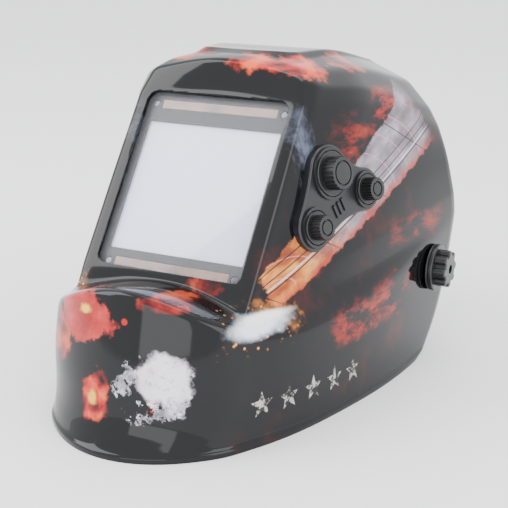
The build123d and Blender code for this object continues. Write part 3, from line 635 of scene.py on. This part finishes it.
# ------------------------------------------------------------ helmet shell
# the same sections as the CAD shell, in millimetres, Y from the filter centre
sections = (
    (
        "rim", (-116, 0), (60, -86.4, 0), (74.3, -64, 0), (101.7, 16, 0), (115, 118, 0),
        (46, 46, 62, 77, 89), (2.6, 0), 1,
    ),
    (
        "lip", (-116, 3.4), (60, -86.4, 3.4), (74.3, -64, 3.4), (101.7, 16, 3.4), (115, 133, 3.4),
        (46, 46, 62, 77, 89), (2.6, 0), 1.2,
    ),
    (
        "flare", (-114, 5), (59.2, -84.7, 5), (73.2, -62.4, 5), (100.6, 16, 5), (114.6, 138, 5),
        (46, 46, 62, 77, 89), (1.6, 0), 2,
    ),
    (
        "waist", (-105, 20), (60.5, -78.5, 21), (73, -56.5, 21), (99, 17, 22), (114.8, 160, 22),
        (44, 44, 62, 77, 88), (2.6, 0), 14,
    ),
    (
        "chin", (-101, 52), (62.5, -76, 50), (75, -54, 48), (99, 15, 44), (116, 176, 50),
        (44, 44, 62, 77, 86), (2.6, 0), 20,
    ),
    (
        "jaw", (-89.6, 100), (64, -68, 78), (75, -50, 71), (97, 14, 68), (117, 187, 88),
        (40, 52, 62, 77, 86), (2.6, 2.6), 5,
    ),
    (
        "ledge", (-43.6, 91.7), (62, -51, 81), (67.5, -38, 80), (88, 14, 80), (117.2, 189, 97),
        (-12, 66, 60, 74, 84), (3.2, 2.4), 3,
    ),
    (
        "sill", (-41.7, 95.2), (62.5, -41.7, 95.2), (68, -27, 96), (84, 14, 98), (116.6, 186.5, 112),
        (0, 66, 64, 73, 82), (3.2, 0), 2.2,
    ),
    (
        "mid", (0.1, 153.8), (62.5, 0.1, 153.8), (68.5, 15, 152), (85, 60, 150), (111.5, 182, 142),
        (0, 66, 67, 74, 80), (3.2, 0), 20,
    ),
    (
        "head", (35.6, 203.5), (61, 31.5, 198), (67, 40, 197), (84, 92, 192), (103.5, 182, 163),
        (-4, 60, 70, 78, 84), (3.2, 1.2), 3,
    ),
    (
        "brow", (42, 223), (56, 42, 213.5), (65, 49, 209), (80, 98, 201), (96, 182, 176),
        (-2, 45, 70, 79, 86), (2.6, 2.6), 3,
    ),
    (
        "roof", (51, 224.3), (47, 53, 219.7), (56, 61, 217), (67, 110, 212.5), (78, 183, 195),
        (3, 45, 74, 82, 88), (1.6, 2.6), 5,
    ),
    (
        "crestFoot", (58, 224.7), (34, 62, 222.8), (41, 72, 221.6), (46, 120, 219), (50, 184, 206.5),
        (8, 50, 80, 86, 90), (1.2, 2.6), 2,
    ),
    (
        "crestTop", (66, 226.6), (30, 69, 226.6), (36, 78, 225.6), (42, 120, 223), (46, 184, 209),
        (8, 50, 80, 86, 90), (1.2, 2.6), 2,
    ),
)
shell = {
    "handle": 0.36, "spanSteps": (30, 12, 26, 30), "cornerSmooth": 4, "roundSteps": 4, "rowLength": 6.0,
    "window": (0.107, 0.126, 0.008), "windowShift": 0.0036, "pivotHole": 0.005, "controlHole": 0.0048,
    "edge": 0.0007, "edgeAngle": 50, "smoothAngle": 32,
}
controlPlaces = {"shade": (0, 0), "sensitivity": (0.0345, -0.0165), "delay": (-0.0215, -0.0315)}


def slope(p, q):
    return (q[2] - p[2]) / ((q[0] - p[0]) ** 2 + (q[1] - p[1]) ** 2) ** 0.5


def curvePoints(p, q, leave, arrive, riseP, riseQ, steps):
    reach = shell["handle"] * ((q[0] - p[0]) ** 2 + (q[1] - p[1]) ** 2) ** 0.5
    a = radians(leave)
    b = radians(arrive)
    first = Vector((p[0] + reach * cos(a), p[1] + reach * sin(a), p[2] + reach * riseP))
    second = Vector((q[0] - reach * cos(b), q[1] - reach * sin(b), q[2] - reach * riseQ))
    start, end = Vector(p), Vector(q)
    points = []
    for i in range(1, steps + 1):
        f = i / steps
        g = 1 - f
        points.append(start * g ** 3 + first * 3 * g * g * f + second * 3 * g * f * f + end * f ** 3)
    return points


def halfHoop(section, inside):
    name, centre, corner, cheek, side, rear, turn, steps, rounding = section
    inward, down = steps if inside else (0, 0)
    centre = (0, centre[0] + inward, centre[1] - down)
    moved = []
    for point, angle in zip(
        (corner, cheek, side, rear), (0.5 * (turn[0] + turn[1]), turn[2], turn[3], turn[4]),
    ):
        a = radians(angle)
        moved.append((point[0] - inward * sin(a), point[1] + inward * cos(a), point[2] - down))
    corner, cheek, side, rear = moved
    rise = slope(centre, corner)
    if abs(centre[2] - corner[2]) > 3:
        rise = 1.4 * rise
    step = slope(corner, cheek)
    atCheek = 0.5 * (step + slope(cheek, side))
    atSide = 0.5 * (slope(cheek, side) + slope(side, rear))
    cheekTurn = turn[2] if turn[0] == turn[1] else turn[1]
    n = shell["spanSteps"]
    points = [Vector(centre)]
    points += curvePoints(centre, corner, 0, turn[0], 0, rise, n[0])
    points += curvePoints(corner, cheek, turn[1], cheekTurn, step, step, n[1])
    points += curvePoints(cheek, side, turn[2], turn[3], atCheek, atSide, n[2])
    points += curvePoints(side, rear, turn[3], turn[4], atSide, slope(side, rear), n[3])
    for _ in range(shell["cornerSmooth"]):
        for at in (n[0], n[0] + n[1]):
            old = [p.copy() for p in points]
            for j in range(at - 3, at + 4):
                points[j] = old[j - 1] * 0.25 + old[j] * 0.5 + old[j + 1] * 0.25
    return points


def ribPoints(corners, roundings, counts):
    # straight runs between the sections with a rounded corner at each
    points = [corners[0]]
    for k in range(1, len(corners)):
        start, end = corners[k - 1], corners[k]
        run = end - start
        cutStart = min(roundings[k - 1], 0.45 * run.length) if k > 1 else 0
        cutEnd = min(roundings[k], 0.45 * run.length) if k < len(corners) - 1 else 0
        unit = run.normalized() if run.length > 1e-6 else Vector()
        first, last = start + unit * cutStart, end - unit * cutEnd
        for i in range(1 if k > 1 else 0, counts[k] + 1):
            points.append(first.lerp(last, i / counts[k]))
        if k < len(corners) - 1:
            nextRun = corners[k + 1] - end
            cutNext = min(roundings[k], 0.45 * nextRun.length)
            nextUnit = nextRun.normalized() if nextRun.length > 1e-6 else Vector()
            after = end + nextUnit * cutNext
            for i in range(1, shell["roundSteps"] + 1):
                f = i / shell["roundSteps"]
                points.append(last * (1 - f) ** 2 + end * 2 * f * (1 - f) + after * f * f)
    return points


def shellSkin(inside):
    hoops = [halfHoop(section, inside) for section in sections]
    middle = len(hoops[0]) // 2
    counts = [1]
    for low, high in zip(hoops, hoops[1:]):
        counts.append(max(1, round((high[middle] - low[middle]).length / shell["rowLength"])))
    roundings = [section[8] for section in sections]
    allCounts = counts + [8] + counts[:0:-1]
    ribs = []
    for j in range(len(hoops[0])):
        right = [hoop[j] for hoop in hoops]
        left = [Vector((-p.x, p.y, p.z)) for p in reversed(right)]
        ribs.append(ribPoints(right + left, roundings + roundings[::-1], allCounts))
    return [[Vector((p.x, p.y - 70, p.z)) * mm for p in rib] for rib in ribs]


def roundedPrism(name, width, height, corner, low, high, shift, matrix):
    # a rounded rectangle from low to high along the plane's normal
    outline = []
    for sx, sy, start in ((1, 1, 0), (-1, 1, 90), (-1, -1, 180), (1, -1, 270)):
        for i in range(9):
            a = radians(start + i * 90 / 8)
            outline.append(
                (
                    sx * (width / 2 - corner) + corner * cos(a),
                    sy * (height / 2 - corner) + corner * sin(a) + shift,
                ),
            )
    n = len(outline)
    points = [matrix @ Vector((x, y, z)) for z in (low, high) for x, y in outline]
    faces = [list(range(n))[::-1], list(range(n, 2 * n))]
    faces += [[i, (i + 1) % n, n + (i + 1) % n, n + i] for i in range(n)]
    return meshObject(name, points, faces)


def cylinderAt(name, radius, depth, matrix, vertices=64):
    bpy.ops.mesh.primitive_cylinder_add(vertices=vertices, radius=radius, depth=depth)
    item = bpy.context.object
    item.name = name
    item.matrix_world = matrix
    applyPlace(item)
    return item


def makeShell():
    outer = shellSkin(False)
    inner = shellSkin(True)
    columns, rows = len(outer), len(outer[0])
    points = [p for rib in outer for p in rib] + [p for rib in inner for p in rib]
    shift = columns * rows
    faces = []
    inside = []
    for j in range(columns - 1):
        for i in range(rows - 1):
            a, b = j * rows + i, (j + 1) * rows + i
            inside.append(len(faces) + 1)
            faces.append((a, b, b + 1, a + 1))
            faces.append((shift + a, shift + a + 1, shift + b + 1, shift + b))
        for i in (0, rows - 1):
            a, b = j * rows + i, (j + 1) * rows + i
            faces.append((a, b, shift + b, shift + a))
    last = (columns - 1) * rows
    for i in range(rows - 1):
        faces.append((last + i, last + i + 1, shift + last + i + 1, shift + last + i))
    item = meshObject("shell", points, faces)
    # the artwork is on the outside only
    item.data.materials.append(shellPaint())
    item.data.materials.append(mouldedPlastic("shellInside", (0.010, 0.010, 0.011), 0.5))
    for number in inside:
        item.data.polygons[number].material_index = 1
    cleanMesh(item)
    plane = placed(filterCentre, sideX, filterUp, filterOut)
    width, height, corner = shell["window"]
    cutWith(item, roundedPrism("windowCut", width, height, corner, 0.0, 0.02, shell["windowShift"], plane))
    across = placed(pivot, Vector((0, 1, 0)), Vector((0, 0, 1)), sideX)
    cutWith(item, cylinderAt("pivotCut", shell["pivotHole"], 0.26, across))
    for place in controlPlaces.values():
        centre = podCentre + podBack * place[0] + podUp * place[1] - podOut * 0.008
        cutWith(
            item,
            cylinderAt("controlCut", shell["controlHole"], 0.016, placed(centre, podBack, podUp, podOut)),
        )
    edge = item.modifiers.new("edge", "BEVEL")
    edge.width = shell["edge"]
    edge.segments = 2
    edge.limit_method = "ANGLE"
    edge.angle_limit = radians(shell["edgeAngle"])
    applyModifiers(item)
    smoothByAngle(item, shell["smoothAngle"])
    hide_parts("helmet_shell")
    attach(item, "shell")
    return item


bosses = {"side": 0.0605, "high": 0.050, "low": -0.042, "behind": 0.0025, "radius": 0.0026, "length": 0.0125}


def makeBosses():
    # the four screw bosses inside the shell
    items = []
    for x in (bosses["side"], -bosses["side"]):
        for rise in (bosses["high"], bosses["low"]):
            centre = filterCentre + sideX * x + filterUp * rise - filterOut * bosses["behind"]
            plane = placed(centre, sideX, filterUp, filterOut)
            items.append(cylinderAt("boss", bosses["radius"], bosses["length"], plane, 32))
    bpy.ops.object.select_all(action="DESELECT")
    for item in items:
        item.select_set(True)
    bpy.context.view_layer.objects.active = items[0]
    bpy.ops.object.join()
    item = items[0]
    item.name = "screwBosses"
    smoothByAngle(item)
    paintWith(item, mouldedPlastic("bossPlastic", (0.02, 0.02, 0.022)))
    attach(item, "shell")


makeShell()
makeBosses()
print("shell is made")


# ------------------------------------------------------------ padded pieces, blown up by cloth
sweatband = {
    "centreY": 0.067, "z": 0.0825, "halfWidth": 0.0796, "halfLength": 0.0996, "reach": 67, "height": 0.031,
    "depth": 0.0045, "steps": 60, "around": 12, "voxel": 0.0028, "pressure": 4.0, "swell": 0.0024,
    "fill": 0.6, "gap": 0.0008, "flatFace": 1.3, "flatEdge": 1.15,
}
napePad = {
    "margin": 0.0012, "corner": 0.008, "voxel": 0.0030, "pressure": 4.0, "swell": 0.0020, "fill": 0.6,
    "gap": 0.0003, "thinner": 0.0016,
}
clothFrames = 20


def blowUp(item, settings):
    pick(item)
    remesh = item.modifiers.new("remesh", "REMESH")
    remesh.mode = "VOXEL"
    remesh.voxel_size = settings["voxel"]
    applyModifiers(item)
    cloth = item.modifiers.new("cloth", "CLOTH")
    cloth.settings.use_pressure = True
    cloth.settings.uniform_pressure_force = settings["pressure"]
    cloth.settings.effector_weights.gravity = 0
    start = [vertex.co.copy() for vertex in item.data.vertices]
    scene = bpy.context.scene
    for step in range(1, clothFrames + 1):
        scene.frame_set(step)
    blown = item.evaluated_get(bpy.context.evaluated_depsgraph_get()).to_mesh()
    moved = [vertex.co.copy() for vertex in blown.vertices]
    item.modifiers.remove(cloth)
    for vertex, first, last in zip(item.data.vertices, start, moved):
        way = last - first
        if way.length > settings["swell"]:
            way = way.normalized() * settings["swell"]
        vertex.co = first + way
    scene.frame_set(1)
    finer = item.modifiers.new("finer", "SUBSURF")
    finer.levels = 1
    finer.render_levels = 1
    applyModifiers(item)


def ovalPoint(settings, turn, inward, z):
    # a point on the band's oval, measured from straight ahead
    a = radians(turn)
    x = (settings["halfWidth"] - inward) * sin(a)
    return (x, settings["centreY"] - (settings["halfLength"] - inward) * cos(a), settings["z"] + z)


def makeSweatband():
    steps, around = sweatband["steps"], sweatband["around"]
    depth, height = sweatband["depth"], sweatband["height"]
    points, faces = [], []
    for i in range(steps + 1):
        angle = -sweatband["reach"] + 2 * sweatband["reach"] * i / steps
        for j in range(around):
            a = 2 * pi * j / around
            face = max(-1, min(1, sweatband["flatFace"] * cos(a)))
            edge = max(-1, min(1, sweatband["flatEdge"] * sin(a)))
            across = sweatband["gap"] + depth * (0.5 + 0.5 * face)
            points.append(ovalPoint(sweatband, angle, across, height / 2 * edge))
    for i in range(steps):
        for j in range(around):
            a, b = i * around + j, i * around + (j + 1) % around
            faces.append((a, b, b + around, a + around))
    faces.append(tuple(range(around))[::-1])
    faces.append(tuple(range(steps * around, (steps + 1) * around)))
    item = meshObject("sweatbandPad", points, faces)
    cleanMesh(item)
    blowUp(item, sweatband)
    # it lies flat against the inside of the band
    for vertex in item.data.vertices:
        x, y = vertex.co.x, vertex.co.y - sweatband["centreY"]
        reach = ((x / sweatband["halfWidth"]) ** 2 + (y / sweatband["halfLength"]) ** 2) ** 0.5
        if reach > 1:
            vertex.co.x = x / reach
            vertex.co.y = sweatband["centreY"] + y / reach
    return item


def makeNapePad():
    low, high = (Vector(corner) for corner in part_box("nape_pad"))
    edge = napePad["margin"]
    centre = (low + high) * 0.5
    plane = placed(
        Vector((centre.x, high.y - napePad["gap"], centre.z)), Vector((1, 0, 0)), Vector((0, 0, 1)),
        Vector((0, -1, 0)),
    )
    width, height, depth = high.x - low.x, high.z - low.z, high.y - low.y
    item = roundedPrism(
        "napePadCloth", width - 2 * edge, height - 2 * edge, napePad["corner"],
        0, depth - napePad["thinner"], 0,
        plane,
    )
    cleanMesh(item)
    blowUp(item, napePad)
    for vertex in item.data.vertices:
        vertex.co.y = min(vertex.co.y, high.y)
    return item


for maker, settings, node in ((makeSweatband, sweatband, "sweatband"), (makeNapePad, napePad, "nape_pad")):
    pad = maker()
    smoothByAngle(pad, 70)
    paintWith(pad, paddedCloth(node + "Cloth", (0.018, 0.018, 0.021)))
    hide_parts(node)
    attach(pad, "headgear")
    print("pad is made:", node)


# ------------------------------------------------------------ finishes for the kept CAD nodes
finishes = {
    "lens_clear": clearLens("clearLens"),
    "filter_glass": filterGlass("filterGlass"),
    "case_black": mouldedPlastic("casePlastic", (0.012, 0.012, 0.014), 0.38),
    "solar_cell": solarCell("solarCell"),
    "sensor": darkDome("sensorDome"),
    "board": circuitBoard("circuitBoard"),
    "cell_steel": brushedMetal("cellSteel", (0.72, 0.72, 0.70), 0.25),
    "gasket": rubberSkin("gasketFoam", (0.02, 0.02, 0.02)),
    "steel": brushedMetal("platedSteel", (0.60, 0.60, 0.61), 0.33),
    "brass": brushedMetal("turnedBrass", (0.72, 0.55, 0.24), 0.28),
    "pod_black": mouldedPlastic("podPlastic", (0.010, 0.010, 0.012), 0.30, 1800.0, 0.00003),
    "knob_black": mouldedPlastic("knobPlastic", (0.009, 0.009, 0.010), 0.34, 2200.0, 0.00003),
    "cable": rubberSkin("cableSleeve", (0.015, 0.015, 0.016)),
    "washer": mouldedPlastic("washerPlastic", (0.03, 0.03, 0.032), 0.4),
    "band_black": mouldedPlastic("bandPlastic", (0.014, 0.014, 0.016), 0.45),
}
nodeEdge = {"width": 0.00025, "angle": 40}
keepSharp = ("front_cover_lens", "inner_cover_lens", "darkening_filter", "control_cable")


def finishNodes():
    slots = {entry["node"]: entry["material_slot"] for entry in frame["record"]["subparts"]}
    for name, node in nodes.items():
        material = finishes.get(slots[name])
        if material is None:
            continue
        for place in node.material_slots:
            place.link = "OBJECT"
            place.material = material
        if name not in keepSharp:
            edge = node.modifiers.new("edge", "BEVEL")
            edge.width = nodeEdge["width"]
            edge.segments = 2
            edge.limit_method = "ANGLE"
            edge.angle_limit = radians(nodeEdge["angle"])


finishNodes()
print("CAD nodes have their finishes")
